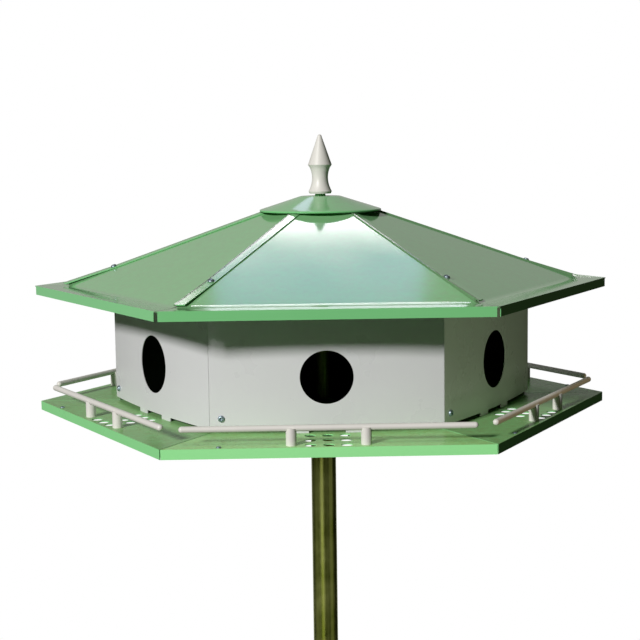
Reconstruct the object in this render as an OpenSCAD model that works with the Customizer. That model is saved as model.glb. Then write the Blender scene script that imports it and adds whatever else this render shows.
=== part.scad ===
// Six-room martin house: a six-sided birdhouse of painted sheet aluminium on a steel pole.
// Every side of the house is drawn facing -Y and turned into its place.
// Heights are measured from the top of the floor, which stands floor_z above the pole's foot.

/* [Plan] */
// Distance from the centre to a corner of the eaves
roof_corner_r = 326; // [310:1:345]
// Distance from the centre to a corner of the floor tray
tray_corner_r = 324; // [310:1:345]
// Distance from the centre to a corner of the walls
wall_corner_r = 237; // [220:1:250]
// How far the middle of each wall panel bows outwards
wall_bow = 7; // [4:0.5:10]

/* [Sheet metal] */
// Thickness of the aluminium sheet
sheet_t = 1; // [0.7:0.1:1.4]
// Gap between pieces that rest on each other or slip together
fit_gap = 0.3; // [0.2:0.05:0.4]
// Gap between neighbouring panels along a seam
seam_gap = 1; // [0.6:0.1:1.6]

/* [Roof panels] */
// Height of the eave fold above the floor
eave_z = 133; // [120:1:150]
// Pitch of the main slope in degrees
roof_pitch = 22; // [18:0.5:26]
// Depth of the level margin along the eave
margin_d = 28; // [20:1:36]
// Radius of the bend between the margin and the slope
knee_r = 28; // [10:1:40]
// Height of the fascia that is folded down along the eave
fascia_h = 10; // [7:0.5:14]
// Open slit between two fascias at a corner of the eaves
fascia_slit = 4.5; // [2:0.5:7]
// Width of the flange that laps over the next panel along a ridge
lap_w = 9; // [7:0.5:15]
// Distance from the centre to the screw that holds the lap down
lap_screw_u = 206; // [180:1:230]
// How far the lap's free lower end stands off the bend, below its screw
lap_spring = 1.2; // [0.2:0.1:2]
// Distance from the centre to the upper edge of a panel
roof_top_u = 40; // [32:1:50]

/* [Cap and finial] */
// Radius of the round cap
cap_r = 69; // [62:1:80]
// Height of the upright rim of the cap
cap_rim_h = 2; // [1.5:0.5:6]
// Rise of the cap's cone above its rim
cap_rise = 15; // [10:1:20]
// Radius of the flat top of the cap
cap_flat_r = 22; // [18:1:28]
// Diameter of the neck that the finial stands on
cap_neck_d = 12; // [10:0.5:16]
// Height of the neck
cap_neck_h = 2.5; // [1.5:0.5:5]
// Height of the finial
finial_h = 66.5; // [60:0.5:75]
// Widest diameter of the finial's spire, at its shoulder
finial_shoulder_d = 27; // [24:0.5:30]
// Height of the shoulder above the finial's foot
finial_shoulder_z = 32.5; // [28:0.5:36]
// Narrowest diameter of the finial
finial_waist_d = 18; // [15:0.5:20]
// Height of the waist above the finial's foot
finial_waist_z = 18; // [15:0.5:20]
// Diameter of the finial's foot
finial_foot_d = 26.5; // [23:0.5:30]
// Diameter of the finial's rounded tip
finial_tip_d = 5; // [4:0.5:7]
// Diameter of the stud that draws the finial and the cap down
stud_d = 6.4; // [5:0.2:8]
// Length of the stud inside the finial
stud_grip = 20; // [12:1:24]

/* [Walls] */
// Diameter of the entrances in the front and back walls
entrance_d = 54; // [44:0.5:66]
// Diameter of the wider entrances in the four side walls
side_entrance_d = 62; // [44:0.5:66]
// Height of an entrance's centre above the floor
entrance_z = 56.5; // [45:0.5:70]
// Height of a wall's lower edge above the floor
wall_lift = 4; // [2:0.5:6]
// Width of the two tabs that pass through the floor
tab_w = 16; // [12:1:20]
// Width of the shoulders beside each tab, on which the wall stands
tab_shoulder = 2; // [1:0.5:4]
// Distance between the middles of the two tabs
tab_spacing = 57; // [44:1:70]
// How far the tabs reach below the floor
tab_reach = 3; // [2:0.5:5]
// Width of the flange that turns the corner behind the next wall
corner_flange_w = 22; // [14:1:26]
// Width of the foot flange of a divider
divider_foot_w = 12; // [8:1:16]

/* [Floor tray] */
// Height of the lip that is folded down along the floor's edge
tray_lip_h = 10; // [7:0.5:14]
// Height of the ribs that are folded down along the floor's seams
rib_h = 8; // [5:0.5:10]
// Diameter of the drain and vent holes in the porch
vent_d = 11.5; // [8:0.5:13]
// Distance between vent holes along the edge
vent_pitch = 17.6; // [15:0.2:20]
// Distance between rows of vent holes
vent_row_pitch = 23; // [16:0.5:24]
// Distance from the floor's edge to the first row of vent holes
vent_inset = 10; // [9:0.5:14]
// Vent holes in a row
vent_columns = 3; // [1:1:3]
// Rows of vent holes
vent_rows = 3; // [1:1:3]

/* [Porch rails] */
// Diameter of a rail
rail_d = 6.4; // [5:0.2:8]
// Distance from a rail's end to the floor's seam, along the rail
rail_setback = 11.5; // [8:0.5:25]
// Height of a rail's axis above the floor
rail_z = 17; // [14:0.5:24]
// Distance from the floor's edge to a rail's axis
rail_inset = 10.5; // [9:0.5:16]
// Diameter of the rail posts
post_d = 10.5; // [9.5:0.5:14]
// Height of a post's top above the rail that passes through it
post_cap = 1.2; // [1:0.1:3]
// Distance between the two posts of a rail
post_spacing = 72.5; // [60:0.5:110]

/* [Pole] */
// Outer diameter of the pole
pole_d = 28.6; // [25:0.2:32]
// Wall of the pole
pole_wall = 1.6; // [1.2:0.1:2.5]
// Length of the pole from its foot to its top
pole_len = 1524; // [1000:1:3000]
// Radius of the flange plate under the floor
flange_r = 70; // [55:1:85]
// Thickness of the flange plate
flange_t = 3; // [2:0.5:5]
// Outer diameter of the flange's sleeve
sleeve_d = 40; // [37:0.5:44]
// Length of the sleeve below the plate
sleeve_len = 42; // [30:1:60]
// Thickness of the head of the plug that closes the pole's foot
foot_plug_t = 4; // [2:0.5:8]
// Length of the plugs inside the pole's two ends
plug_grip = 25; // [15:1:40]

/* [Hidden] */
$fn = 96;
// The bowed walls follow a circle of about a metre's radius, which needs finer steps
bow_fn = 1440;
// Steps of the bend at the foot of the slope
knee_steps = 6;
// Angle that one side of the house spans, and half of it
turn = 60;
half_turn = turn / 2;

SIDES = ["front", "front_right", "back_right", "back", "back_left", "front_left"];
CORNERS = ["front_right", "right", "back_right", "back_left", "left", "front_left"];

enamel_green = "#86bd8c";
enamel_white = "#e4e4e0";
enamel_dark = "#26302a";
plastic_white = "#efeee8";
zinc_grey = "#b4b6b4";
pole_grey = "#8d8d78";

// Distances from the centre to the middle of a side
roof_u = roof_corner_r * cos(half_turn);
tray_u = tray_corner_r * cos(half_turn);
wall_u = wall_corner_r * cos(half_turn);
// Here the lines of the slope and the margin meet
knee_u = roof_u - margin_d;

// Height of the top of the main slope at distance u from the centre, and the sheet's upright thickness
function roof_z(u) = eave_z + (knee_u - u) * tan(roof_pitch);
slope_t = sheet_t / cos(roof_pitch);
slope_gap = fit_gap / cos(roof_pitch);
// A panel's ridge edge reaches this far past the ridge, under its own lap
lap_root = seam_gap / 2;
// Heights of the lap's two faces above the next panel
lap_lo = slope_gap;
lap_hi = slope_gap + slope_t;
// The bend runs between these distances from the centre, and passes this far above the knee
bend_u = knee_u + knee_r * tan(roof_pitch / 2);
slope_foot_u = bend_u - knee_r * sin(roof_pitch);
knee_lift = knee_r * (1 - cos(roof_pitch / 2)) + fit_gap / 2;
// The lap's lower end is raised this much
lap_rise = knee_lift + lap_spring;
// Point of the bend, from 0 at the margin to 1 at the slope
function knee_point(share, depth) = [
    bend_u - knee_r * sin(roof_pitch * share),
    eave_z + knee_r * (1 - cos(roof_pitch * share)) - depth
];

// Circle that the bowed wall follows
bow_r = (pow(wall_corner_r / 2, 2) + pow(wall_bow, 2)) / (2 * wall_bow);
bow_y = bow_r - wall_u - wall_bow;
wall_top = roof_z(wall_u + wall_bow) - slope_t - slope_gap;
// The corner flange lies behind the next wall's sheet
flange_depth = sheet_t + fit_gap;

cap_rim_z = roof_z((cap_r - sheet_t) * cos(half_turn)) + slope_t + 2 * slope_gap;
cap_flat_z = cap_rim_z + cap_rim_h + cap_rise;
finial_z = cap_flat_z + cap_neck_h;
// The pole's top stays half a plug's length below the cap
pole_top_z = cap_flat_z - sheet_t - plug_grip / 2;
floor_z = pole_len - pole_top_z;

// Outline of one side between distances u0 and u1 from the centre, set in from the left and right seams
module side_band(u0, u1, left, right) {
    function left_x(u) = left / cos(half_turn) - u * tan(half_turn);
    function right_x(u) = u * tan(half_turn) - right / cos(half_turn);
    polygon([[left_x(u0), -u0], [left_x(u1), -u1], [right_x(u1), -u1], [right_x(u0), -u0]]);
}

// Outline of a strip along the left seam, between distances d0 and d1 from it
module seam_strip(u0, u1, d0, d1) {
    function strip_x(u, d) = d / cos(half_turn) - u * tan(half_turn);
    polygon([[strip_x(u0, d0), -u0], [strip_x(u1, d0), -u1], [strip_x(u1, d1), -u1], [strip_x(u0, d1), -u0]]);
}

// Upright prism over an outline, higher than the whole house
module tall() translate([0, 0, -tray_lip_h]) linear_extrude(2 * cap_flat_z) children();

// Folded sheet: a profile of distance from the centre and height, run along one side
module along_side()
    rotate([90, 0, 90]) linear_extrude(2 * roof_corner_r, center = true) mirror([1, 0]) children();

// Sheet that follows the bow of a wall, between two depths behind its outer face
module bowed_sheet(depth0, depth1, x0, x1, z0, z1) {
    intersection() {
        translate([0, bow_y, z0]) difference() {
            cylinder(r = bow_r - depth0, h = z1 - z0, $fn = bow_fn);
            translate([0, 0, -1]) cylinder(r = bow_r - depth1, h = z1 - z0 + 2, $fn = bow_fn);
        }
        translate([x0, -2 * wall_u, z0 - 1]) cube([x1 - x0, 2 * wall_u, z1 - z0 + 2]);
    }
}

// Floor

module floor_panel() {
    inner_u = pole_d / 4;
    rib_u = flange_r + rib_h;
    seam = seam_gap / 2;
    color(enamel_green) difference() {
        union() {
            translate([0, 0, -sheet_t]) linear_extrude(sheet_t) side_band(inner_u, tray_u, seam, seam);
            translate([0, 0, -tray_lip_h]) linear_extrude(tray_lip_h)
                side_band(tray_u - sheet_t, tray_u, seam, seam);
            for (hand = [0, 1]) mirror([hand, 0, 0]) translate([0, 0, -rib_h]) linear_extrude(rib_h)
                seam_strip(rib_u, tray_u, seam, seam + sheet_t);
        }
        translate([0, 0, -tray_lip_h]) cylinder(d = pole_d + 2 * fit_gap, h = 2 * tray_lip_h);
        vent_holes();
        tab_slots();
    }
}

module vent_holes() {
    for (column = [0 : vent_columns - 1], row = [0 : vent_rows - 1])
        translate([
            (column - (vent_columns - 1) / 2) * vent_pitch,
            row * vent_row_pitch + vent_inset - tray_u,
            -2 * sheet_t
        ]) cylinder(d = vent_d, h = 3 * sheet_t);
}

module tab_slots() {
    half_slot = tab_w / 2 + fit_gap;
    for (x = [-1, 1] * tab_spacing / 2)
        bowed_sheet(-fit_gap, sheet_t + fit_gap, x - half_slot, x + half_slot, -2 * sheet_t, sheet_t);
}

// Walls and dividers

module wall(hole_d) {
    half_w = wall_corner_r / 2;
    seam = fit_gap / 2;
    color(enamel_white) union() {
        intersection() {
            bowed_sheet(0, sheet_t, -half_w, half_w, -sheet_t - tab_reach, wall_top);
            translate([0, -wall_u / 2, 0]) rotate([90, 0, 0]) linear_extrude(wall_u) wall_outline(hole_d);
            tall() side_band(wall_u / 2, 2 * wall_u, seam, seam);
        }
        corner_flange();
    }
}

// Front view of a wall: a sheet with its entrance, on two tabs with shoulders
module wall_outline(hole_d) {
    half_w = wall_corner_r / 2;
    half_foot = tab_w / 2 + tab_shoulder;
    tab_z = -sheet_t - tab_reach;
    difference() {
        union() {
            translate([-half_w, wall_lift]) square([2 * half_w, wall_top - wall_lift]);
            for (x = [-1, 1] * tab_spacing / 2) {
                translate([x - half_foot, 0]) square([2 * half_foot, wall_top]);
                translate([x - tab_w / 2, tab_z]) square([tab_w, wall_top - tab_z]);
            }
        }
        translate([0, entrance_z]) circle(d = hole_d);
    }
}

// Flange of the wall's right end: it turns the corner and lies behind the next wall's sheet
module corner_flange() {
    half_w = wall_corner_r / 2;
    root = sheet_t + fit_gap / 2;
    rotate([0, 0, turn]) intersection() {
        bowed_sheet(flange_depth, flange_depth + sheet_t, -2 * half_w, corner_flange_w - half_w,
            2 * wall_lift, wall_top - wall_lift);
        tall() side_band(wall_u / 2, 2 * wall_u, -root, 0);
    }
}

// Drawn along +X: an upright sheet from the pole to a corner of the walls, on a foot flange
module divider() {
    inner_r = pole_d / 2 + fit_gap;
    outer_r = wall_corner_r - (flange_depth + 2 * sheet_t) / sin(turn);
    crest_r = roof_top_u / cos(half_turn);
    function top_z(r) = roof_z(r * cos(half_turn)) - slope_t - slope_gap;
    color(enamel_dark) union() {
        rotate([90, 0, 0]) linear_extrude(sheet_t, center = true) polygon([
            [inner_r, 0],
            [outer_r, 0],
            [outer_r, top_z(outer_r)],
            [crest_r, top_z(crest_r)],
            [inner_r, top_z(crest_r)]
        ]);
        translate([pole_d, -sheet_t / 2, 0])
            cube([wall_corner_r - pole_d - 2 * divider_foot_w, divider_foot_w + sheet_t / 2, sheet_t]);
    }
}

// Roof

module roof_panel() {
    color(enamel_green) union() {
        difference() {
            intersection() {
                along_side() panel_profile();
                tall() panel_outline();
            }
            for (hand = [0, 1]) mirror([hand, 0, 0]) fascia_corner_cut();
        }
        intersection() {
            along_side() lap_profile(-slope_t, 0);
            mirror([1, 0, 0]) tall() seam_strip(0, slope_foot_u, -lap_root, seam_gap);
        }
        rotate([0, 0, turn]) intersection() {
            along_side() lap_profile(lap_lo, lap_rise);
            tall() seam_strip(0, knee_u, -lap_root, lap_w);
        }
    }
}

// Plan of a panel: its right ridge edge reaches under the lap, and its margin meets the next one closely
module panel_outline() {
    seam = fit_gap / 2;
    function edge_x(u, inset) = u * tan(half_turn) - inset / cos(half_turn);
    polygon([
        [-edge_x(roof_top_u, seam_gap), -roof_top_u],
        [-edge_x(knee_u, seam_gap), -knee_u],
        [-edge_x(knee_u, seam), -knee_u],
        [-edge_x(roof_u, seam), -roof_u],
        [edge_x(roof_u, seam), -roof_u],
        [edge_x(knee_u, seam), -knee_u],
        [edge_x(knee_u, -lap_root), -knee_u],
        [edge_x(roof_top_u, -lap_root), -roof_top_u]
    ]);
}

// Half of the slit that parts two fascias, below the sheet of the margin
module fascia_corner_cut() translate([0, 0, eave_z - 2 * fascia_h]) linear_extrude(2 * fascia_h - slope_t)
    seam_strip(knee_u, 2 * roof_u, -fascia_slit, fascia_slit / 2);

// Folded section of a panel: main slope, bend, eave margin and fascia
module panel_profile() polygon(concat(
    [[roof_top_u, roof_z(roof_top_u)]],
    [for (i = [0 : knee_steps]) knee_point(1 - i / knee_steps, 0)],
    [[roof_u, eave_z], [roof_u, eave_z - fascia_h], [roof_u - sheet_t, eave_z - fascia_h]],
    [[roof_u - sheet_t, eave_z - slope_t]],
    [for (i = [0 : knee_steps]) knee_point(i / knee_steps, slope_t)],
    [[roof_top_u, roof_z(roof_top_u) - slope_t]]
));

// Section along a lap down to a height above the slope, bent up by a rise below the screw
module lap_profile(lo, rise) polygon([
    [roof_top_u, roof_z(roof_top_u) + lo],
    [roof_top_u, roof_z(roof_top_u) + lap_hi],
    [lap_screw_u, roof_z(lap_screw_u) + lap_hi],
    [knee_u, eave_z + lap_hi + lap_rise],
    [knee_u, eave_z + lo + rise],
    [lap_screw_u, roof_z(lap_screw_u) + lo]
]);

module roof_cap() {
    cone_z = cap_rim_z + cap_rim_h;
    hole_r = stud_d / 2 + fit_gap;
    color(enamel_green) rotate_extrude() polygon([
        [cap_r, cap_rim_z],
        [cap_r, cone_z],
        [cap_flat_r, cap_flat_z],
        [cap_neck_d / 2, cap_flat_z],
        [cap_neck_d / 2, finial_z],
        [hole_r, finial_z],
        [hole_r, cap_flat_z - sheet_t],
        [cap_flat_r, cap_flat_z - sheet_t],
        [cap_r - sheet_t, cone_z - sheet_t],
        [cap_r - sheet_t, cap_rim_z]
    ]);
}

module cap_stud() {
    plug_d = pole_d - 2 * pole_wall - 2 * fit_gap;
    color(zinc_grey) union() {
        translate([0, 0, pole_top_z]) cylinder(d = pole_d, h = 2 * sheet_t);
        translate([0, 0, pole_top_z - plug_grip]) cylinder(d = plug_d, h = plug_grip + sheet_t);
        translate([0, 0, pole_top_z]) cylinder(d = stud_d, h = finial_z + stud_grip - pole_top_z);
    }
}

// Turned spire: a long cone above a shoulder, a curved waist and a flared foot
module finial() {
    neck_z = finial_shoulder_z - finial_h / 20;
    neck_r = finial_shoulder_d * 0.42;
    waist_r = finial_waist_d / 2;
    foot_r = finial_foot_d / 2;
    tip_r = finial_tip_d / 2;
    steps = 6;
    function mix(from, to, share) = from + (to - from) * share;
    function flare(r, z, share) = [mix(waist_r, r, pow(share, 2)), mix(finial_waist_z, z, share)];
    function tip_arc(angle) = [tip_r * cos(angle), finial_h - tip_r + tip_r * sin(angle)];
    color(plastic_white) translate([0, 0, finial_z]) difference() {
        rotate_extrude() polygon(concat(
            [[0, 0], [foot_r - tip_r / 2, 0]],
            [for (i = [0 : steps]) flare(foot_r, tip_r, 1 - i / steps)],
            [for (i = [1 : steps]) flare(neck_r, neck_z, i / steps)],
            [[finial_shoulder_d / 2, finial_shoulder_z]],
            [for (i = [0 : steps]) tip_arc(90 * i / steps)]
        ));
        translate([0, 0, -1]) cylinder(d = stud_d + 2 * fit_gap, h = stud_grip + 1 + fit_gap);
    }
}

// Porch rails

module rail() {
    half_run = (tray_u - rail_inset) * tan(half_turn) - rail_setback - rail_d / 2;
    color(plastic_white) translate([0, rail_inset - tray_u, rail_z]) {
        rotate([0, 90, 0]) cylinder(d = rail_d, h = 2 * half_run, center = true);
        for (x = [-half_run, half_run]) translate([x, 0, 0]) sphere(d = rail_d);
    }
}

module rail_posts() {
    color(plastic_white) translate([0, rail_inset - tray_u, 0])
        for (x = [-1, 1] * post_spacing / 2) translate([x, 0, 0]) difference() {
            cylinder(d = post_d, h = rail_z + rail_d / 2 + post_cap);
            translate([0, 0, rail_z]) rotate([0, 90, 0])
                cylinder(d = rail_d + 2 * fit_gap, h = 2 * post_d, center = true);
        }
}

// Pole

module pole() {
    color(pole_grey) difference() {
        translate([0, 0, foot_plug_t]) cylinder(d = pole_d, h = pole_len - foot_plug_t);
        cylinder(d = pole_d - 2 * pole_wall, h = pole_len + 1);
    }
}

module pole_foot_plug() {
    color(zinc_grey) union() {
        cylinder(d = pole_d, h = foot_plug_t);
        cylinder(d = pole_d - 2 * pole_wall - 2 * fit_gap, h = foot_plug_t + plug_grip);
    }
}

module pole_flange() {
    color(zinc_grey) translate([0, 0, -sheet_t - flange_t]) difference() {
        union() {
            cylinder(r = flange_r, h = flange_t);
            translate([0, 0, -sleeve_len]) cylinder(d = sleeve_d, h = sleeve_len + flange_t);
        }
        translate([0, 0, -sleeve_len - 1]) cylinder(d = pole_d + 2 * fit_gap, h = sleeve_len + flange_t + 2);
    }
}

pole();
pole_foot_plug();
translate([0, 0, floor_z]) {
    pole_flange();
    roof_cap();
    cap_stud();
    finial();
    for (i = [0 : len(SIDES) - 1]) rotate([0, 0, turn * i]) {
        floor_panel();
        wall(i % 3 == 0 ? entrance_d : side_entrance_d);
        roof_panel();
        rail();
        rail_posts();
    }
    for (i = [0 : len(CORNERS) - 1]) rotate([0, 0, turn * (i - 1)]) {
        divider();
    }
}
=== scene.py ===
"""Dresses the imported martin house: enamelled sheet, plastic, pole steel, fasteners, studio and camera."""

import logging
import math
from dataclasses import dataclass
from enum import Enum
from typing import Any, Sequence

import bmesh
import bpy
from mathutils import Matrix, Vector


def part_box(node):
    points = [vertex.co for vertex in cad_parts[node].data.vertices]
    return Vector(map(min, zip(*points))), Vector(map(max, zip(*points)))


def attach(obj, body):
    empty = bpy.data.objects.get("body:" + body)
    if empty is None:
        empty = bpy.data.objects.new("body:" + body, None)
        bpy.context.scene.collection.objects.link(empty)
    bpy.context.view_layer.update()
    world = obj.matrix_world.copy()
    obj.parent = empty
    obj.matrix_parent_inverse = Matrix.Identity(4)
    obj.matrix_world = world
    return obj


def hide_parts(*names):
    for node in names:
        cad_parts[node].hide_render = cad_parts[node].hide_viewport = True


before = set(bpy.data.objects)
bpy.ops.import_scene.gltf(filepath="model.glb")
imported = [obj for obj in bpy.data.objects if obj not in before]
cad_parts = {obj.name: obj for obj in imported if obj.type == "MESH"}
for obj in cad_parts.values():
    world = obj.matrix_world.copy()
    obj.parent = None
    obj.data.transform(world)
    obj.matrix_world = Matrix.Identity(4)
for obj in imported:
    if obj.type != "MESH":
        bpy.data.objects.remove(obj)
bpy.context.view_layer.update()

MM = 0.001
SIDES = ("front", "front_right", "back_right", "back", "back_left", "front_left")
CORNERS = ("front_right", "right", "back_right", "back_left", "left", "front_left")
BACK_SIDES = ("back_right", "back", "back_left")
TURN = math.radians(60)
# Bends in degrees above which an edge is rounded: on sheet, on round work, and on small heads and posts
SHEET_BEND = 12.0
ROUND_BEND = 25.0
HEAD_BEND = 35.0
# Corners of neighbouring faces closer than this in millimetres are joined before an edge is rounded
JOIN_GAP = 0.002
# Noise seldom leaves this band, which is spread over the whole range of what it drives
NOISE_LOW = 0.3
NOISE_HIGH = 0.7
# Height of the top of the floor, from which all heights on the house are measured
FLOOR_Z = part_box("front_floor_panel")[1].z

log = logging.getLogger("martin_house")


def to_linear(code: str) -> tuple[float, float, float, float]:
    """Turns an sRGB hex colour to the linear values that a shader takes.

    Args:
        code: six hex digits after a hash sign.

    Returns:
        Red, green, blue and full alpha.
    """
    parts = [int(code[i:i + 2], 16) / 255 for i in (1, 3, 5)]
    red, green, blue = (c / 12.92 if c <= 0.04045 else ((c + 0.055) / 1.055) ** 2.4 for c in parts)
    return red, green, blue, 1.0


def box_mm(node: str) -> tuple[Vector, Vector]:
    """Measures the box of a CAD node.

    Args:
        node: the node's name.

    Returns:
        Its low and its high corner in millimetres, with heights above the floor.
    """
    floor = Vector((0, 0, FLOOR_Z))
    low, high = ((Vector(corner) - floor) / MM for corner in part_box(node))
    return low, high


def per_metre(size_mm: float) -> float:
    """Gives the pattern scale at which one feature is size_mm across."""
    return 1 / (size_mm * MM)


def add_node(tree: bpy.types.NodeTree, kind: str, inputs: dict[str | int, Any] | None = None,
             **settings: Any) -> bpy.types.Node:
    """Adds a shader node with its settings, and sets or links its inputs.

    Args:
        tree: the node tree that gets the node.
        kind: Blender's name for the node's type.
        inputs: values, or output sockets to link, by the input's name or number.
        settings: properties of the node itself.

    Returns:
        The new node.
    """
    node = tree.nodes.new(kind)
    for key, value in settings.items():
        setattr(node, key, value)
    for key, value in (inputs or {}).items():
        if isinstance(value, bpy.types.NodeSocket):
            tree.links.new(value, node.inputs[key])
        else:
            node.inputs[key].default_value = value
    return node


class Edge(Enum):
    """How an edge was made, as the width in millimetres over which it is rounded."""

    # Folded sheet, pressed heads and thin mouldings
    FINE = 0.4
    CUT_TUBE = 0.5
    MOULDED = 0.8
    ROLLED_RIM = 1.0


class Head(Enum):
    """Shape of a fastener's head."""

    CROSS_PAN = "pan head with a cross recess"
    HEXAGON = "six-sided bolt head on a washer"
    RIVET = "domed rivet head with its broken mandrel"


@dataclass(frozen=True)
class Finish:
    """A real surface. Kinds of surface are built on it and wire their own shader."""

    name: str
    slot: str

    def wire(self, tree: bpy.types.NodeTree, shader: bpy.types.Node, place: bpy.types.NodeSocket) -> None:
        """Sets the shader's sockets and links its patterns.

        Args:
            tree: the material's node tree.
            shader: its principled shader.
            place: coordinates on the object, in metres.
        """
        raise NotImplementedError

    def material(self) -> bpy.types.Material:
        """Gives the material of this finish, which is made at its first use.

        Returns:
            The material that all pieces of this finish share.
        """
        found = bpy.data.materials.get(self.name)
        if found:
            return found
        made = bpy.data.materials.new(self.name)
        made.use_nodes = True
        tree = made.node_tree
        tree.nodes.clear()
        shader = add_node(tree, "ShaderNodeBsdfPrincipled")
        add_node(tree, "ShaderNodeOutputMaterial", {"Surface": shader.outputs["BSDF"]})
        self.wire(tree, shader, add_node(tree, "ShaderNodeTexCoord").outputs["Object"])
        return made


@dataclass(frozen=True)
class StoveEnamel(Finish):
    """Paint baked on rolled aluminium sheet, dusty where it faces the sky."""

    colour: str
    thin_colour: str
    roughness: float
    shine: float = 0.5
    dust: float = 0.28
    dust_colour: str = "#908e7c"
    dust_mm: float = 7.0
    dust_least_z: float = 0.3
    dust_full_z: float = 0.95
    # Painted shade along each hip of the roof: its share, the width of its strip and its colour
    painted_hip_shade: float = 0.75
    painted_hip_shade_mm: float = 0.0
    hip_shade_colour: str = "#5f7058"
    cloud_mm: float = 70.0
    ripple_mm: float = 130.0
    ripple_height_mm: float = 0.12
    peel_mm: float = 2.2
    peel_height_mm: float = 0.004

    def wire(self, tree: bpy.types.NodeTree, shader: bpy.types.Node, place: bpy.types.NodeSocket) -> None:
        """Sets the shader's sockets and links its patterns.

        Args:
            tree: the material's node tree.
            shader: its principled shader.
            place: coordinates on the object, in metres.
        """
        # Baked paint is a glassy skin: it mirrors the room softly, broken by the sheet's long ripples and by
        # a faint orange peel, and it is a shade paler where it was sprayed thin. Outdoors a film of dust
        # settles on what faces the sky, which greys the colour there in faint specks and dulls the porch.
        cloud = add_node(tree, "ShaderNodeTexNoise",
                         {"Vector": place, "Scale": per_metre(self.cloud_mm), "Detail": 4.0,
                          "Roughness": 0.6})
        paint = add_node(tree, "ShaderNodeMix", {0: cloud.outputs["Fac"], 6: to_linear(self.colour),
                                                 7: to_linear(self.thin_colour)}, data_type="RGBA")
        gloss = add_node(tree, "ShaderNodeMapRange",
                         {"Value": cloud.outputs["Fac"], "From Min": NOISE_LOW, "From Max": NOISE_HIGH,
                          "To Min": self.roughness * 0.8, "To Max": self.roughness * 1.2})
        ripple = add_node(tree, "ShaderNodeTexNoise",
                          {"Vector": place, "Scale": per_metre(self.ripple_mm), "Detail": 1.0})
        waved = add_node(tree, "ShaderNodeBump", {"Strength": 1.0, "Distance": self.ripple_height_mm * MM,
                                                  "Height": ripple.outputs["Fac"]})
        peel = add_node(tree, "ShaderNodeTexNoise", {"Vector": place, "Scale": per_metre(self.peel_mm)})
        skin = add_node(tree, "ShaderNodeBump",
                        {"Strength": 1.0, "Distance": self.peel_height_mm * MM, "Height": peel.outputs["Fac"],
                         "Normal": waved.outputs["Normal"]})
        facing = add_node(tree, "ShaderNodeSeparateXYZ",
                          {"Vector": add_node(tree, "ShaderNodeTexCoord").outputs["Normal"]})
        level = add_node(tree, "ShaderNodeMapRange",
                         {"Value": facing.outputs["Z"], "From Min": self.dust_least_z,
                          "From Max": self.dust_full_z, "To Max": self.dust})
        speck = add_node(tree, "ShaderNodeTexNoise", {"Vector": place, "Scale": per_metre(self.dust_mm),
                                                      "Detail": 6.0, "Roughness": 0.7})
        settled = add_node(tree, "ShaderNodeMapRange",
                           {"Value": speck.outputs["Fac"], "From Min": NOISE_LOW, "From Max": NOISE_HIGH,
                            "To Min": 0.6, "To Max": 1.4})
        film = add_node(tree, "ShaderNodeMath", {0: level.outputs["Result"], 1: settled.outputs["Result"]},
                        operation="MULTIPLY")
        dusty = add_node(tree, "ShaderNodeMix", {0: film.outputs["Value"], 6: paint.outputs[2],
                                                 7: to_linear(self.dust_colour)}, data_type="RGBA")
        coat = dusty.outputs[2]
        # A darker grey-green is painted in a narrow strip along each hip: painted shade in the fold.
        if self.painted_hip_shade_mm:
            hip_shade = self.along_hips(tree, place)
            coat = add_node(tree, "ShaderNodeMix", {0: hip_shade, 6: coat, 7: to_linear(self.hip_shade_colour)},
                            data_type="RGBA").outputs[2]
        tree.links.new(coat, shader.inputs["Base Color"])
        tree.links.new(gloss.outputs["Result"], shader.inputs["Roughness"])
        tree.links.new(skin.outputs["Normal"], shader.inputs["Normal"])
        shader.inputs["IOR"].default_value = 1.5
        shader.inputs["Specular IOR Level"].default_value = self.shine

    def along_hips(self, tree: bpy.types.NodeTree, place: bpy.types.NodeSocket) -> bpy.types.NodeSocket:
        """Finds the strip along each hip of the six-sided roof, where shade is painted into the fold.

        Args:
            tree: the material's node tree.
            place: coordinates on the object, in metres.

        Returns:
            A socket with the share of painted shade, which is full in the fold and falls to 0 beside it.
        """
        spot = add_node(tree, "ShaderNodeSeparateXYZ", {"Vector": place})
        angle = add_node(tree, "ShaderNodeMath", {0: spot.outputs["Y"], 1: spot.outputs["X"]},
                         operation="ARCTAN2")
        off = add_node(tree, "ShaderNodeMath", {0: angle.outputs[0], 1: TURN / 2}, operation="PINGPONG")
        sine = add_node(tree, "ShaderNodeMath", {0: off.outputs[0]}, operation="SINE")
        plan = add_node(tree, "ShaderNodeVectorMath", {0: place, 1: (1.0, 1.0, 0.0)}, operation="MULTIPLY")
        reach = add_node(tree, "ShaderNodeVectorMath", {0: plan.outputs[0]}, operation="LENGTH")
        aside = add_node(tree, "ShaderNodeMath", {0: sine.outputs[0], 1: reach.outputs["Value"]},
                         operation="MULTIPLY")
        strip = add_node(tree, "ShaderNodeMapRange", {
            "Value": aside.outputs[0], "From Min": self.painted_hip_shade_mm * 0.5 * MM,
            "From Max": self.painted_hip_shade_mm * MM, "To Min": self.painted_hip_shade, "To Max": 0.0})
        return strip.outputs["Result"]


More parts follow.
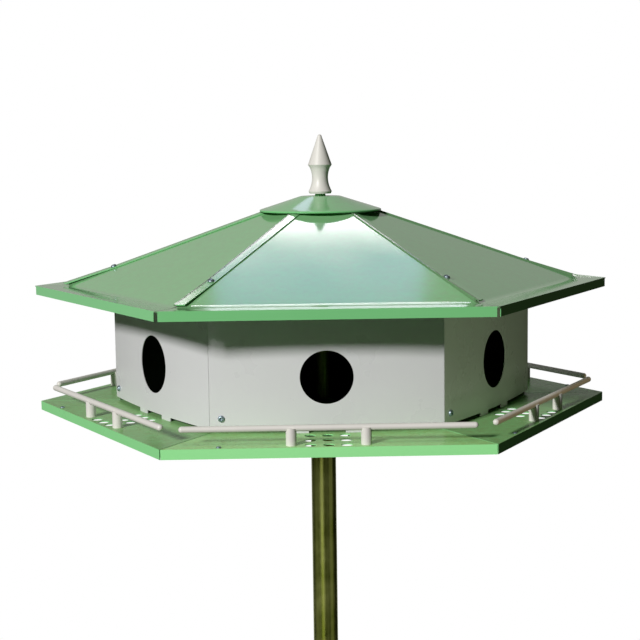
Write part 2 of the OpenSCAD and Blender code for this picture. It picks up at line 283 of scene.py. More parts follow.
@dataclass(frozen=True)
class MouldedPlastic(Finish):
    """Injection-moulded polypropylene."""

    colour: str
    flow_colour: str
    roughness: float = 0.38
    flow_mm: float = 24.0
    grain_mm: float = 1.6
    grain_height_mm: float = 0.012

    def wire(self, tree: bpy.types.NodeTree, shader: bpy.types.Node, place: bpy.types.NodeSocket) -> None:
        """Sets the shader's sockets and links its patterns.

        Args:
            tree: the material's node tree.
            shader: its principled shader.
            place: coordinates on the object, in metres.
        """
        # Moulded plastic is soft and warm: light goes a little way in, the gloss is broad, and faint flow
        # clouds and the tool's fine grain break it up.
        flow = add_node(tree, "ShaderNodeTexNoise", {"Vector": place, "Scale": per_metre(self.flow_mm),
                                                     "Detail": 3.0, "Distortion": 0.8})
        body = add_node(tree, "ShaderNodeMix", {0: flow.outputs["Fac"], 6: to_linear(self.colour),
                                                7: to_linear(self.flow_colour)}, data_type="RGBA")
        gloss = add_node(tree, "ShaderNodeMapRange",
                         {"Value": flow.outputs["Fac"], "To Min": self.roughness * 0.8,
                          "To Max": self.roughness * 1.25})
        grain = add_node(tree, "ShaderNodeTexNoise",
                         {"Vector": place, "Scale": per_metre(self.grain_mm), "Detail": 2.0})
        skin = add_node(tree, "ShaderNodeBump", {"Strength": 0.6, "Distance": self.grain_height_mm * MM,
                                                 "Height": grain.outputs["Fac"]})
        tree.links.new(body.outputs[2], shader.inputs["Base Color"])
        tree.links.new(gloss.outputs["Result"], shader.inputs["Roughness"])
        tree.links.new(skin.outputs["Normal"], shader.inputs["Normal"])
        shader.inputs["IOR"].default_value = 1.49


@dataclass(frozen=True)
class DrawnTube(Finish):
    """Cold-drawn steel tube with an olive chromate over its zinc."""

    colour: str
    worn_colour: str
    roughness: float = 0.3
    streak_mm: float = 5.0
    streak_run: float = 60.0
    stain_mm: float = 45.0
    draw_height_mm: float = 0.02

    def wire(self, tree: bpy.types.NodeTree, shader: bpy.types.Node, place: bpy.types.NodeSocket) -> None:
        """Sets the shader's sockets and links its patterns.

        Args:
            tree: the material's node tree.
            shader: its principled shader.
            place: coordinates on the object, in metres.
        """
        # Drawing leaves fine lines along the tube, so its highlight is a ragged upright streak. The chromate
        # is olive where it is thick and pale metal where hands and clamps have rubbed it.
        run = add_node(tree, "ShaderNodeMapping", {"Vector": place, "Scale": (1.0, 1.0, 1 / self.streak_run)})
        streak = add_node(tree, "ShaderNodeTexNoise",
                          {"Vector": run.outputs["Vector"], "Scale": per_metre(self.streak_mm), "Detail": 5.0,
                           "Roughness": 0.65})
        stain = add_node(tree, "ShaderNodeTexNoise", {"Vector": place, "Scale": per_metre(self.stain_mm),
                                                      "Detail": 6.0, "Roughness": 0.6})
        wear = add_node(tree, "ShaderNodeMath", {0: streak.outputs["Fac"], 1: stain.outputs["Fac"]},
                        operation="MULTIPLY")
        share = add_node(tree, "ShaderNodeMapRange", {"Value": wear.outputs["Value"], "From Min": 0.18,
                                                      "From Max": 0.42})
        metal = add_node(tree, "ShaderNodeMix", {0: share.outputs["Result"], 6: to_linear(self.colour),
                                                 7: to_linear(self.worn_colour)}, data_type="RGBA")
        gloss = add_node(tree, "ShaderNodeMapRange",
                         {"Value": stain.outputs["Fac"], "From Min": NOISE_LOW, "From Max": NOISE_HIGH,
                          "To Min": self.roughness * 0.75, "To Max": self.roughness * 1.4})
        drawn = add_node(tree, "ShaderNodeBump", {"Strength": 1.0, "Distance": self.draw_height_mm * MM,
                                                  "Height": streak.outputs["Fac"]})
        tree.links.new(metal.outputs[2], shader.inputs["Base Color"])
        tree.links.new(gloss.outputs["Result"], shader.inputs["Roughness"])
        tree.links.new(drawn.outputs["Normal"], shader.inputs["Normal"])
        shader.inputs["Metallic"].default_value = 1.0


@dataclass(frozen=True)
class ZincPlate(Finish):
    """Steel with a bright zinc plate."""

    colour: str
    dull_colour: str
    roughness: float = 0.48
    spangle_mm: float = 3.0
    tarnish_mm: float = 12.0
    pit_height_mm: float = 0.01

    def wire(self, tree: bpy.types.NodeTree, shader: bpy.types.Node, place: bpy.types.NodeSocket) -> None:
        """Sets the shader's sockets and links its patterns.

        Args:
            tree: the material's node tree.
            shader: its principled shader.
            place: coordinates on the object, in metres.
        """
        # Zinc is a cool grey metal of small crystals, each with its own shine, under a thin cloudy tarnish.
        spangle = add_node(tree, "ShaderNodeTexVoronoi",
                           {"Vector": place, "Scale": per_metre(self.spangle_mm)})
        tarnish = add_node(tree, "ShaderNodeTexNoise", {"Vector": place, "Scale": per_metre(self.tarnish_mm),
                                                        "Detail": 5.0})
        metal = add_node(tree, "ShaderNodeMix", {0: tarnish.outputs["Fac"], 6: to_linear(self.colour),
                                                 7: to_linear(self.dull_colour)}, data_type="RGBA")
        gloss = add_node(tree, "ShaderNodeMapRange",
                         {"Value": spangle.outputs["Color"], "To Min": self.roughness * 0.7,
                          "To Max": self.roughness * 1.4})
        pits = add_node(tree, "ShaderNodeBump", {"Strength": 0.5, "Distance": self.pit_height_mm * MM,
                                                 "Height": spangle.outputs["Distance"]})
        tree.links.new(metal.outputs[2], shader.inputs["Base Color"])
        tree.links.new(gloss.outputs["Result"], shader.inputs["Roughness"])
        tree.links.new(pits.outputs["Normal"], shader.inputs["Normal"])
        shader.inputs["Metallic"].default_value = 1.0


@dataclass(frozen=True)
class StudioPaper(Finish):
    """Matt paper on the studio floor."""

    colour: str
    fibre_colour: str
    fibre_mm: float = 6.0

    def wire(self, tree: bpy.types.NodeTree, shader: bpy.types.Node, place: bpy.types.NodeSocket) -> None:
        """Sets the shader's sockets and links its patterns.

        Args:
            tree: the material's node tree.
            shader: its principled shader.
            place: coordinates on the object, in metres.
        """
        # Paper is matt and even, with fibres that only just show.
        fibre = add_node(tree, "ShaderNodeTexNoise",
                         {"Vector": place, "Scale": per_metre(self.fibre_mm), "Detail": 4.0})
        sheet = add_node(tree, "ShaderNodeMix", {0: fibre.outputs["Fac"], 6: to_linear(self.colour),
                                                 7: to_linear(self.fibre_colour)}, data_type="RGBA")
        tree.links.new(sheet.outputs[2], shader.inputs["Base Color"])
        shader.inputs["Roughness"].default_value = 0.9


ROOF_ENAMEL = StoveEnamel("stove_enamel_green_on_roof_sheet", "green_enamel", "#78ca82", "#81cd8a", 0.1,
                          painted_hip_shade_mm=2.2)
CAP_ENAMEL = StoveEnamel("stove_enamel_green_on_spun_cap", "green_enamel", "#78ca82", "#81cd8a", 0.1)
# The porch's green is painted paler than the roof's same enamel, standing in for light that bounces up from
# the ground onto the porch and its lip: painted light.
PORCH_ENAMEL_WITH_PAINTED_BOUNCE = StoveEnamel("stove_enamel_green_on_floor_sheet", "green_enamel", "#8ad890", "#93dc98", 0.28,
                           shine=0.05, dust=0.42, dust_colour="#878b4c")
WALL_ENAMEL = StoveEnamel("stove_enamel_white_on_rolled_aluminium", "white_enamel", "#cfcfd2", "#d4d5d7", 0.3)
# The dividers are painted near-black so that the rooms look dark through the entrances: painted shade in the
# rooms.
ROOM_SHADE_ENAMEL = StoveEnamel("stove_enamel_dark_painted_shade_in_rooms", "dark_enamel", "#18211c", "#1d2721", 0.6)
WHITE_PLASTIC = MouldedPlastic("moulded_polypropylene_white", "white_plastic", "#dedcd7", "#e5e3de")
POLE_STEEL = DrawnTube("drawn_steel_tube_olive_chromate", "pole_steel", "#646c28", "#a6aa6c")
ZINC = ZincPlate("bright_zinc_plated_steel", "zinc_plate", "#b4c4ce", "#8b9ca6")
PAPER = StudioPaper("matt_studio_paper", "", "#f4f4f2", "#efefec")


def soften(piece: bpy.types.Object, edge: Edge, angle: float = SHEET_BEND) -> None:
    """Rounds a piece's edges with modifiers, which leave its own mesh as it is.

    Args:
        piece: the object to round.
        edge: how its edges were made.
        angle: bend in degrees above which an edge is rounded.
    """
    weld = piece.modifiers.new("joined_faces", "WELD")
    weld.merge_threshold = JOIN_GAP * MM
    bevel = piece.modifiers.new("rounded_edges", "BEVEL")
    bevel.width = edge.value * MM
    bevel.segments = 2
    bevel.limit_method = "ANGLE"
    bevel.angle_limit = math.radians(angle)
    shade = piece.modifiers.new("flat_faces", "WEIGHTED_NORMAL")
    shade.weight = 100


def dress(nodes: Sequence[str], finish: Finish, edge: Edge, angle: float = SHEET_BEND) -> None:
    """Gives CAD nodes their finish and rounded edges.

    Args:
        nodes: names of the nodes.
        finish: the finish that they share.
        edge: how their edges were made.
        angle: bend in degrees above which an edge is rounded.
    """
    for name in nodes:
        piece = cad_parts[name]
        piece.data.materials.clear()
        piece.data.materials.append(finish.material())
        soften(piece, edge, angle)
        log.info("dressed %s in %s", name, finish.name)


def nodes_of(kind: str, *sides: str) -> list[bpy.types.Object]:
    """Gives the CAD nodes of one kind on the named sides, or on all six if none is named."""
    return [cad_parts[f"{side}_{kind}"] for side in sides or SIDES]


def place_piece(name: str, mesh: bmesh.types.BMesh, finish: Finish) -> bpy.types.Object:
    """Makes a piece of the house from a finished mesh.

    Args:
        name: the piece's name.
        mesh: its mesh in the frame's metres, which is freed here.
        finish: its finish.

    Returns:
        The new object, riding on the house.
    """
    data = bpy.data.meshes.new(name)
    bmesh.ops.recalc_face_normals(mesh, faces=mesh.faces)
    mesh.to_mesh(data)
    mesh.free()
    data.materials.append(finish.material())
    piece = bpy.data.objects.new(name, data)
    bpy.context.scene.collection.objects.link(piece)
    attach(piece, "root")
    log.info("built %s: %d faces", name, len(data.polygons))
    return piece


def lathe(mesh: bmesh.types.BMesh, profile: Sequence[tuple[float, float]],
          steps: int) -> list[list[bmesh.types.BMVert]]:
    """Turns a profile about Z into a ring of faces, closed at the foot and open at the top.

    Args:
        mesh: the mesh that gets the faces.
        profile: radius and height pairs in millimetres, from the foot up.
        steps: number of facets round the axis.

    Returns:
        One loop of vertices for each point of the profile.
    """
    loops = []
    for radius, height in profile:
        loops.append([mesh.verts.new((radius * MM * math.cos(a), radius * MM * math.sin(a), height * MM))
                      for a in (2 * math.pi * i / steps for i in range(steps))])
    mesh.faces.new(loops[0])
    for lower, upper in zip(loops, loops[1:]):
        for i in range(steps):
            j = (i + 1) % steps
            mesh.faces.new((lower[i], lower[j], upper[j], upper[i]))
    return loops


@dataclass(frozen=True)
class Fastener:
    """A screw, bolt or rivet head, drawn with its seat at the origin and its axis along +Z.

    Its sizes are in millimetres. Its foot is sunk a little below the seat, so that it stands on a bowed or
    tilted sheet without a gap.
    """

    head: Head
    width: float
    height: float
    sunk: float = 0.3
    steps: int = 28
    arc_steps: int = 6
    flats: int = 6

    def draw(self) -> bmesh.types.BMesh:
        """Draws the head.

        Returns:
            A new mesh in metres.
        """
        mesh = bmesh.new()
        if self.head is Head.HEXAGON:
            self.draw_hexagon(mesh)
        elif self.head is Head.RIVET:
            self.draw_rivet(mesh)
        else:
            self.draw_pan(mesh)
        for face in mesh.faces:
            face.smooth = True
        return mesh

    def dome(self, rim: float, flat: float) -> list[tuple[float, float]]:
        """Gives the profile of a domed head.

        Args:
            rim: share of the height that is upright at the rim.
            flat: share of the radius that is flat on top.

        Returns:
            Radius and height pairs in millimetres.
        """
        radius = self.width / 2
        foot = [(radius, -self.sunk), (radius, rim * self.height)]
        arc = [(radius * (flat + (1 - flat) * math.cos(a)), self.height * (rim + (1 - rim) * math.sin(a)))
               for a in (math.pi / 2 * (i + 1) / self.arc_steps for i in range(self.arc_steps))]
        return foot + arc

    def draw_pan(self, mesh: bmesh.types.BMesh) -> None:
        """Draws a domed pan head with a cross-shaped recess.

        Args:
            mesh: the mesh that gets the head.
        """
        top = lathe(mesh, self.dome(rim=0.3, flat=0.5), self.steps)[-1]
        arm, half = self.width * 0.2 * MM, self.width * 0.055 * MM
        taper, floor_share = 0.7, 0.35
        outline = [(half, arm), (half, half), (arm, half), (arm, -half), (half, -half), (half, -arm),
                   (-half, -arm), (-half, -half), (-arm, -half), (-arm, half), (-half, half), (-half, arm)]
        high = self.height * MM
        recess = [mesh.verts.new((x, y, high)) for x, y in outline]
        floor = [mesh.verts.new((x * taper, y * taper, high * floor_share)) for x, y in outline]
        edges = []
        for loop in (top, recess):
            for a, b in zip(loop, loop[1:] + loop[:1]):
                edges.append(mesh.edges.get((a, b)) or mesh.edges.new((a, b)))
        bmesh.ops.triangle_fill(mesh, edges=edges, use_beauty=True)
        for i in range(len(outline)):
            j = (i + 1) % len(outline)
            mesh.faces.new((recess[i], recess[j], floor[j], floor[i]))
        mesh.faces.new(floor)

    def draw_hexagon(self, mesh: bmesh.types.BMesh) -> None:
        """Draws a chamfered six-sided head on a flat washer.

        Args:
            mesh: the mesh that gets the head.
        """
        washer, radius = self.width * 0.75, self.width / math.sqrt(3)
        thick, shoulder = self.height * 0.28, self.height * 0.85
        worn, core, top_r = thick * 0.3, radius * 0.6, radius * 0.86
        profile = [(washer, -self.sunk), (washer, thick - worn), (washer - worn, thick), (core, thick)]
        seat = lathe(mesh, profile, self.steps)
        mesh.faces.new(seat[-1])
        body = lathe(mesh, [(radius, thick / 2), (radius, shoulder), (top_r, self.height)], self.flats)
        mesh.faces.new(body[-1])

    def draw_rivet(self, mesh: bmesh.types.BMesh) -> None:
        """Draws a domed rivet head with the dimple of its mandrel.

        Args:
            mesh: the mesh that gets the head.
        """
        dimple, floor_r, floor_z = self.width * 0.16, self.width * 0.128, self.height * 0.6
        profile = self.dome(rim=0.2, flat=0.45) + [(dimple, self.height), (floor_r, floor_z)]
        mesh.faces.new(lathe(mesh, profile, self.steps)[-1])

    def row(self, name: str, seats: Sequence[Matrix], finish: Finish) -> bpy.types.Object:
        """Makes one piece of all the like fasteners of a sub-assembly.

        Args:
            name: the piece's name.
            seats: where each head sits, with its axis along +Z.
            finish: the finish of the heads.

        Returns:
            The new object.
        """
        whole = bmesh.new()
        one = bpy.data.meshes.new("head")
        drawn = self.draw()
        drawn.to_mesh(one)
        drawn.free()
        for seat in seats:
            first = len(whole.verts)
            whole.from_mesh(one)
            whole.verts.ensure_lookup_table()
            bmesh.ops.transform(whole, matrix=seat, verts=whole.verts[first:])
        bpy.data.meshes.remove(one)
        piece = place_piece(name, whole, finish)
        soften(piece, Edge.FINE, HEAD_BEND)
        return piece


def seat_at(side: int, point: Sequence[float], axis: Sequence[float]) -> Matrix:
    """Gives the place of a head on one side of the house.

    Args:
        side: number of the side, counted from the front.
        point: the seat in millimetres, drawn for the front side, with its height above the floor.
        axis: the way the head faces, drawn for the front side.

    Returns:
        A matrix in the frame's metres.
    """
    lift = Matrix.Translation((0, 0, FLOOR_Z)) @ Matrix.Rotation(TURN * side, 4, "Z")
    facing = Vector(axis).to_track_quat("Z", "Y").to_matrix().to_4x4()
    return lift @ Matrix.Translation(Vector(point) * MM) @ facing


@dataclass
class Roof:
    """Six lapped roof panels under a round cap, with sizes in millimetres."""

    eave_u: float = -box_mm("front_roof_panel")[0].y
    margin_d: float = 28.0
    eave_z: float = 133.0
    pitch_deg: float = 22.0
    lap_w: float = 9.0
    lap_lift: float = 1.4
    screw_u: float = 206.0
    screw: Fastener = Fastener(Head.CROSS_PAN, 6.5, 2.2)

    def slope_z(self, u: float) -> float:
        """Height of the main slope at distance u from the centre."""
        return self.eave_z + (self.eave_u - self.margin_d - u) * math.tan(math.radians(self.pitch_deg))

    def build(self) -> None:
        """Dresses the panels and the cap, and sets a screw in every ridge lap."""
        dress([f"{side}_roof_panel" for side in SIDES], ROOF_ENAMEL, Edge.FINE)
        dress(["roof_cap"], CAP_ENAMEL, Edge.ROLLED_RIM)
        pitch = math.radians(self.pitch_deg)
        x = self.lap_w / 2 / math.cos(TURN / 2) - self.screw_u * math.tan(TURN / 2)
        point = (x, -self.screw_u, self.slope_z(self.screw_u) + self.lap_lift)
        axis = (0, -math.sin(pitch), math.cos(pitch))
        self.screw.row("ridge_lap_screws", [seat_at(i, point, axis) for i in range(len(SIDES))], ZINC)


@dataclass
class Walls:
    """Six bowed walls with round entrances, and the dividers between the rooms. Sizes are in millimetres."""

    corner_r: float = 237.0
    bow: float = 7.0
    screw_in: float = 12.0
    screw_z: float = 15.0
    screw: Fastener = Fastener(Head.CROSS_PAN, 6.8, 2.4)

    @property
    def bow_r(self) -> float:
        """Radius of the circle that a bowed wall follows."""
        return ((self.corner_r / 2) ** 2 + self.bow ** 2) / (2 * self.bow)

    @property
    def bow_y(self) -> float:
        """Place of that circle's centre, behind the front wall."""
        return self.bow_r - self.corner_r * math.cos(TURN / 2) - self.bow

    def build(self) -> None:
        """Dresses the walls and dividers, and sets a screw in every corner lap."""
        dress([f"{side}_wall" for side in SIDES], WALL_ENAMEL, Edge.FINE)
        # The dividers get the near-black paint that stands in for the shade inside the rooms.
        dress([f"{corner}_divider" for corner in CORNERS], ROOM_SHADE_ENAMEL, Edge.FINE)
        x = self.screw_in - self.corner_r / 2
        y = self.bow_y - math.sqrt(self.bow_r ** 2 - x ** 2)
        seats = [seat_at(i, (x, y, self.screw_z), (x, y - self.bow_y, 0)) for i in range(len(SIDES))]
        self.screw.row("wall_corner_screws", seats, ZINC)


RAIL_LOW, RAIL_HIGH = box_mm("front_rail")
POSTS_LOW, POSTS_HIGH = box_mm("front_rail_posts")


@dataclass(frozen=True)
class CradlePost:
    """A moulded post with a hollow across its top, in which the rail lies. Sizes are in millimetres."""

    width: float = 10.5
    rail_z: float = (RAIL_LOW.z + RAIL_HIGH.z) / 2
    rail_d: float = RAIL_HIGH.z - RAIL_LOW.z
    fit_gap: float = 0.3
    ear_steps: int = 6
    hollow_steps: int = 14
    least_half: float = 0.01

    def top(self) -> list[tuple[float, float]]:
        """Gives the shape of the post's top across the rail.

        Returns:
            Distance from the rail's axis and height, in millimetres, from the front ear to the back ear.
        """
        radius, hollow = self.width / 2, self.rail_d / 2 + self.fit_gap
        lean = math.acos(hollow / radius)
        ear = [(-radius * math.cos(lean * i / self.ear_steps), self.rail_z) for i in range(self.ear_steps)]
        cradle = [(-hollow * math.cos(a), self.rail_z - hollow * math.sin(a))
                  for a in (math.pi * i / self.hollow_steps for i in range(self.hollow_steps + 1))]
        return ear + cradle + [(-y, z) for y, z in reversed(ear)]

    def draw(self, mesh: bmesh.types.BMesh, seat: Matrix) -> None:
        """Draws the post as strips across its top, an upright wall and a flat foot.

        Args:
            mesh: the mesh that gets the post.
            seat: the middle of its foot, with the rail along X.
        """
        rows = []
        for y, z in self.top():
            half = math.sqrt(max((self.width / 2) ** 2 - y ** 2, 0))
            rows.append([(x, y, z) for x in ((-half, half) if half > self.least_half else (0.0,))])
        verts = {point: mesh.verts.new(seat @ (Vector(point) * MM)) for row in rows for point in row}
        for row, after in zip(rows, rows[1:]):
            mesh.faces.new([verts[point] for point in row + after[::-1]])
        rim = [row[-1] for row in rows] + [row[0] for row in rows[-2:0:-1]]
        foot = [mesh.verts.new(seat @ (Vector((x, y, 0)) * MM)) for x, y, _ in rim]
        for i, point in enumerate(rim):
            j = (i + 1) % len(rim)
            mesh.faces.new((verts[point], verts[rim[j]], foot[j], foot[i]))
        mesh.faces.new(foot)


@dataclass
class Porch:
    """Six floor panels with perch rails on posts, with sizes in millimetres."""

    edge_u: float = -box_mm("front_floor_panel")[0].y
    sheet_t: float = 1.0
    rail_u: float = -(RAIL_LOW.y + RAIL_HIGH.y) / 2
    posts_w: float = POSTS_HIGH.x - POSTS_LOW.x
    rivet_x: float = -106.0
    rivet_in: float = 4.5
    rivet: Fastener = Fastener(Head.RIVET, 5.0, 1.4)
    post: CradlePost = CradlePost()
    post_screw: Fastener = Fastener(Head.CROSS_PAN, 8.0, 2.6)

    def build(self) -> None:
        """Dresses the floor, rails and posts, and sets the rivets and post screws."""
        # The floor panels get the paler green that stands in for bounced light: painted light.
        dress([f"{side}_floor_panel" for side in SIDES], PORCH_ENAMEL_WITH_PAINTED_BOUNCE, Edge.FINE)
        dress([f"{side}_rail" for side in SIDES], WHITE_PLASTIC, Edge.MOULDED, ROUND_BEND)
        dress([f"{side}_rail_posts" for side in SIDES], WHITE_PLASTIC, Edge.MOULDED, ROUND_BEND)
        for i, side in enumerate(SIDES):
            self.set_posts(i, side)
        rivet = (self.rivet_x, self.rivet_in - self.edge_u, 0)
        self.rivet.row("porch_edge_rivets", [seat_at(i, rivet, (0, 0, 1)) for i in range(len(SIDES))], ZINC)
        seats = [seat for i in range(len(SIDES)) for seat in self.post_seats(i, -self.sheet_t, -1)]
        self.post_screw.row("rail_post_screws", seats, ZINC)

    def post_seats(self, turn: int, z: float, way: int) -> list[Matrix]:
        """Gives the seats of a rail's two posts, or of the screws under them.

        Args:
            turn: number of the side, counted from the front.
            z: height of the seats above the floor.
            way: 1 for what stands on the floor, -1 for what hangs under it.

        Returns:
            Two matrices in the frame's metres.
        """
        x = (self.posts_w - self.post.width) / 2
        return [seat_at(turn, (end, -self.rail_u, z), (0, 0, way)) for end in (-x, x)]

    def set_posts(self, turn: int, side: str) -> None:
        """Sets two cradle posts under a rail, in place of the posts of the frame, which close over it.

        Args:
            turn: number of the side, counted from the front.
            side: its name.
        """
        mesh = bmesh.new()
        for seat in self.post_seats(turn, 0.0, 1):
            self.post.draw(mesh, seat)
        for face in mesh.faces:
            face.smooth = True
        posts = place_piece(f"{side}_rail_cradles", mesh, WHITE_PLASTIC)
        soften(posts, Edge.FINE, HEAD_BEND)
        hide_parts(f"{side}_rail_posts")


@dataclass
class Spire:
    """Turned plastic finial on the stud that holds the cap."""

    def build(self) -> None:
        """Dresses the finial and its stud."""
        dress(["finial"], WHITE_PLASTIC, Edge.MOULDED, ROUND_BEND)
        dress(["cap_stud"], ZINC, Edge.CUT_TUBE, ROUND_BEND)


@dataclass
class Pole:
    """Steel pole with its foot plug and the flange that carries the floor. Sizes are in millimetres."""

    flange_face_z: float = -4.0
    bolt_circle_r: float = 52.0
    sleeve_r: float = 20.0
    set_screw_z: float = -28.0
    bolt: Fastener = Fastener(Head.HEXAGON, 10.0, 5.5)
    set_screw: Fastener = Fastener(Head.HEXAGON, 8.0, 7.0)

    def build(self) -> None:
        """Dresses the pole and its fittings, and sets the flange bolts and set screws."""
        dress(["pole"], POLE_STEEL, Edge.CUT_TUBE, ROUND_BEND)
        dress(["pole_foot_plug", "pole_flange"], ZINC, Edge.CUT_TUBE, ROUND_BEND)
        bolt = (0, -self.bolt_circle_r, self.flange_face_z)
        self.bolt.row("flange_bolts", [seat_at(i, bolt, (0, 0, -1)) for i in range(len(SIDES))], ZINC)
        screw = (0, -self.sleeve_r, self.set_screw_z)
        seats = [seat_at(i, screw, (0, -1, 0)) for i in range(0, len(SIDES), 2)]
        self.set_screw.row("sleeve_set_screws", seats, ZINC)


@dataclass(frozen=True)
class SoftBox:
    """A flat studio light, placed and sized in metres."""

    name: str
    centre: tuple[float, float, float]
    aim: tuple[float, float, float]
    width: float
    height: float
    radiance: float
    tint: str

    def hang(self, lit: Sequence[bpy.types.Object] = ()) -> None:
        """Makes the light, turned towards its aim.

        Args:
            lit: the objects that it lights, while flags keep it off the rest; all objects if none is named.
        """
        lamp = bpy.data.lights.new(self.name, "AREA")
        lamp.shape = "RECTANGLE"
        lamp.size, lamp.size_y = self.width, self.height
        lamp.energy = math.pi * self.width * self.height * self.radiance
        lamp.color = to_linear(self.tint)[:3]
        hung = bpy.data.objects.new(self.name, lamp)
        hung.location = self.centre
        hung.rotation_euler = (Vector(self.aim) - Vector(self.centre)).to_track_quat("-Z", "Y").to_euler()
        hung.visible_camera = False
        bpy.context.scene.collection.objects.link(hung)
        if lit:
            hung.light_linking.receiver_collection = bpy.data.collections.new(f"{self.name}_receivers")
            for piece in lit:
                hung.light_linking.receiver_collection.objects.link(piece)


@dataclass
class Studio:
    """Pale floor, white surround and soft lights, in metres."""

    floor_r: float = 2.2
    floor_steps: int = 96
    key_distance: float = 8.0
    key_azimuth_deg: float = 235.0
    key_height_deg: float = 23.9
    key_aim_h: float = 0.09
    key_size: float = 1.0
    key_strength: float = 1.02
    key_tint: str = "#fffcfb"
    card_y: float = 2.2
    pole_card_r: float = 0.8
    pole_card_z: float = 0.58
    pole_card_h: float = 1.0
    pole_card_tint: str = "#f2f4d8"
    glow_way: tuple[float, float, float] = (0.0, 0.9, 0.436)
    glow_edge: float = 0.72
    glow_core: float = 0.97
    room_colour: str = "#2a2c20"
    glow_colour: str = "#b9b8b4"
    seen_colour: str = "#ffffff"

    def build(self) -> None:
        """Lays the floor, hangs the lights and sets the surround."""
        bpy.context.scene.view_settings.view_transform = "Standard"
        floor = self.lay_floor()
        self.hang_key()
        self.hang_cards()
        self.hang_fills()
        self.hang_pole_cards()
        SoftBox("floor_light", (0, 0, 6), (0, 0, 0), width=4, height=4, radiance=3.0,
                tint="#ffffff").hang([floor])
        self.set_surround()

    def lay_floor(self) -> bpy.types.Object:
        """Lays a round sheet of paper under the pole, which throws no light back up at the house.

        Returns:
            The floor.
        """
        mesh = bmesh.new()
        bmesh.ops.create_circle(mesh, cap_ends=True, radius=self.floor_r, segments=self.floor_steps)
        data = bpy.data.meshes.new("studio_floor")
        mesh.to_mesh(data)
        mesh.free()
        data.materials.append(PAPER.material())
        floor = bpy.data.objects.new("studio_floor", data)
        floor.visible_diffuse = False
        floor.visible_glossy = False
        bpy.context.scene.collection.objects.link(floor)
        return floor

    def hang_key(self) -> None:
        """Hangs the key light at the front left, so far off that its light is almost parallel."""
        aim = Vector((0, 0, FLOOR_Z + self.key_aim_h))
        azimuth, height = math.radians(self.key_azimuth_deg), math.radians(self.key_height_deg)
        level = math.cos(height)
        way = Vector((math.cos(azimuth) * level, math.sin(azimuth) * level, math.sin(height)))
        spread = self.key_size ** 2 / self.key_distance ** 2
        SoftBox("key_light", tuple(aim + way * self.key_distance), tuple(aim), self.key_size, self.key_size,
                math.pi * self.key_strength / spread, self.key_tint).hang()

    def card(self, name: str, x: float, low: float, high: float, width: float, radiance: float,
             tint: str) -> SoftBox:
        """Makes an upright card behind the house, for the roof to mirror.

        Args:
            name: the card's name.
            x: place of its middle, to the right of the pole.
            low: height of its lower edge above the ground.
            high: height of its upper edge above the ground.
            width: its width.
            radiance: its brightness.
            tint: its colour.

        Returns:
            The card, not yet hung.
        """
        middle = (low + high) / 2
        return SoftBox(name, (x, self.card_y, middle), (x, 0, middle), width, high - low, radiance, tint)

    def hang_cards(self) -> None:
        """Hangs the cards that show in the eave's bend and the cap, and as glare and sky in the slopes."""
        cap, panels = [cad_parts["roof_cap"]], nodes_of("roof_panel")
        self.card("eave_card", x=0.15, low=2.75, high=3.4, width=0.9, radiance=4.4,
                  tint="#eef0ff").hang(nodes_of("roof_panel", "front"))
        self.card("cap_card", x=-0.2, low=2.9, high=3.6, width=0.16, radiance=2.3, tint="#d8d4ff").hang(cap)
        self.card("ridge_card", x=0.0, low=3.7, high=3.99, width=1.0, radiance=12.6,
                  tint="#fff4ff").hang(panels)
        self.card("sky_card", x=0.06, low=4.05, high=4.5, width=0.76, radiance=2.6,
                  tint="#a8b7ff").hang(panels)
        SoftBox("rim_card", (-0.15, 0.3, 4.0), (0, 0, FLOOR_Z), width=1.2, height=0.8, radiance=3.0,
                tint="#dfe6ff").hang(cap)

    def hang_fills(self) -> None:
        """Hangs the lights that lift the shadows, each of them on its own pieces only."""
        z = FLOOR_Z
        SoftBox("left_card", (-2.2, 1.8, z), (-0.2, 0, z), width=1.6, height=1.0, radiance=0.35,
                tint="#ffffff").hang(nodes_of("roof_panel", "front_left"))
        SoftBox("wall_fill_right", (0.6, -0.9, z + 0.06), (0.18, -0.1, z + 0.06), width=0.4, height=0.4,
                radiance=2.0, tint="#f0ffd2").hang(nodes_of("wall", "front_right"))
        SoftBox("wall_fill_left", (-1.5, -1.8, z), (0, 0, z), width=2.0, height=0.8, radiance=0.42,
                tint="#eef0ea").hang(nodes_of("wall"))
        SoftBox("porch_fill", (-0.2, -1.2, z + 1.4), (0, -0.25, z), width=1.2, height=1.0, radiance=3.6,
                tint="#fff0e0").hang(nodes_of("floor_panel", "front"))
        SoftBox("rail_fill", (2.1, -0.7, z + 0.3), (0, 0, z), width=1.2, height=0.8, radiance=2.4,
                tint="#ffe2b4").hang(nodes_of("rail", "front_right", "back_right"))
        SoftBox("back_fill", (0.9, 3.0, z + 1.3), (0, 0, z), width=1.6, height=1.2, radiance=10.0,
                tint="#fffcfb").hang(nodes_of("roof_panel", *BACK_SIDES) + nodes_of("wall", *BACK_SIDES))

    def hang_pole_cards(self) -> None:
        """Hangs upright cards round the pole, which show in its steel as streaks."""
        for name, bearing_deg, width, radiance in (
                ("pole_streak", -24, 0.35, 1.6), ("pole_side", 66, 0.5, 0.5), ("pole_back", -146, 0.3, 0.7),
                ("pole_rear", 172, 0.8, 0.8), ("pole_left", -80, 0.9, 0.3), ("pole_front", 20, 0.5, 0.2)):
            bearing, middle = math.radians(bearing_deg), self.pole_card_z
            centre = (self.pole_card_r * math.sin(bearing), -self.pole_card_r * math.cos(bearing), middle)
            SoftBox(name, centre, (0, 0, middle), width, self.pole_card_h, radiance,
                    self.pole_card_tint).hang([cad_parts["pole"]])

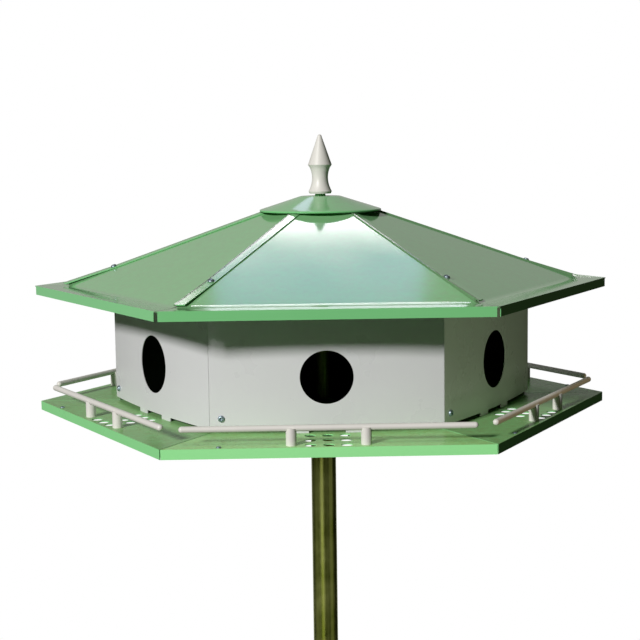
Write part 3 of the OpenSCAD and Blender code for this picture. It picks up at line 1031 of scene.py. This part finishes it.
    def set_surround(self) -> None:
        """Surrounds the house with white to the eye, and with a dark room that glows behind it."""
        world = bpy.data.worlds.new("studio")
        world.use_nodes = True
        bpy.context.scene.world = world
        tree = world.node_tree
        tree.nodes.clear()
        way = add_node(tree, "ShaderNodeTexCoord").outputs["Generated"]
        nearness = add_node(tree, "ShaderNodeVectorMath", {0: way, 1: self.glow_way}, operation="DOT_PRODUCT")
        glow = add_node(tree, "ShaderNodeMapRange",
                        {"Value": nearness.outputs["Value"], "From Min": self.glow_edge,
                         "From Max": self.glow_core}, interpolation_type="SMOOTHSTEP")
        room = add_node(tree, "ShaderNodeMix", {0: glow.outputs["Result"], 6: to_linear(self.room_colour),
                                                7: to_linear(self.glow_colour)}, data_type="RGBA")
        lit = add_node(tree, "ShaderNodeBackground", {"Color": room.outputs[2], "Strength": 1.0})
        seen = add_node(tree, "ShaderNodeBackground", {"Color": to_linear(self.seen_colour), "Strength": 1.0})
        eye = add_node(tree, "ShaderNodeLightPath").outputs["Is Camera Ray"]
        both = add_node(tree, "ShaderNodeMixShader", {0: eye, 1: lit.outputs[0], 2: seen.outputs[0]})
        add_node(tree, "ShaderNodeOutputWorld", {"Surface": both.outputs[0]})


@dataclass
class Viewpoint:
    """Camera a little above the porch, in front of the house, in metres and degrees."""

    x: float = -0.0313
    y: float = -1.5993
    above_floor: float = 0.2813
    heading_deg: float = 1.045
    dip_deg: float = 6.867
    roll_deg: float = 0.75
    lens_mm: float = 79.05

    def build(self) -> None:
        """Makes the camera and hands it to the scene."""
        heading, dip, roll = (math.radians(a) for a in (self.heading_deg, self.dip_deg, self.roll_deg))
        ahead = Vector((math.sin(heading) * math.cos(dip), math.cos(heading) * math.cos(dip), -math.sin(dip)))
        right = ahead.cross(Vector((0, 0, 1))).normalized()
        above = right.cross(ahead)
        up = above * math.cos(roll) + right * math.sin(roll)
        across = ahead.cross(up)
        data = bpy.data.cameras.new("viewpoint")
        data.lens = self.lens_mm
        camera = bpy.data.objects.new("viewpoint", data)
        turn = Matrix((across, up, -ahead)).transposed().to_4x4()
        camera.matrix_world = Matrix.Translation((self.x, self.y, FLOOR_Z + self.above_floor)) @ turn
        bpy.context.scene.collection.objects.link(camera)
        bpy.context.scene.camera = camera


def main() -> None:
    """Builds the sub-assemblies in order, then the studio and the camera."""
    logging.basicConfig(level=logging.INFO, format="%(name)s: %(message)s")
    for part in (Pole(), Porch(), Walls(), Roof(), Spire(), Studio(), Viewpoint()):
        part.build()
        log.info("%s is ready", type(part).__name__)


if __name__ == "__main__":
    main()
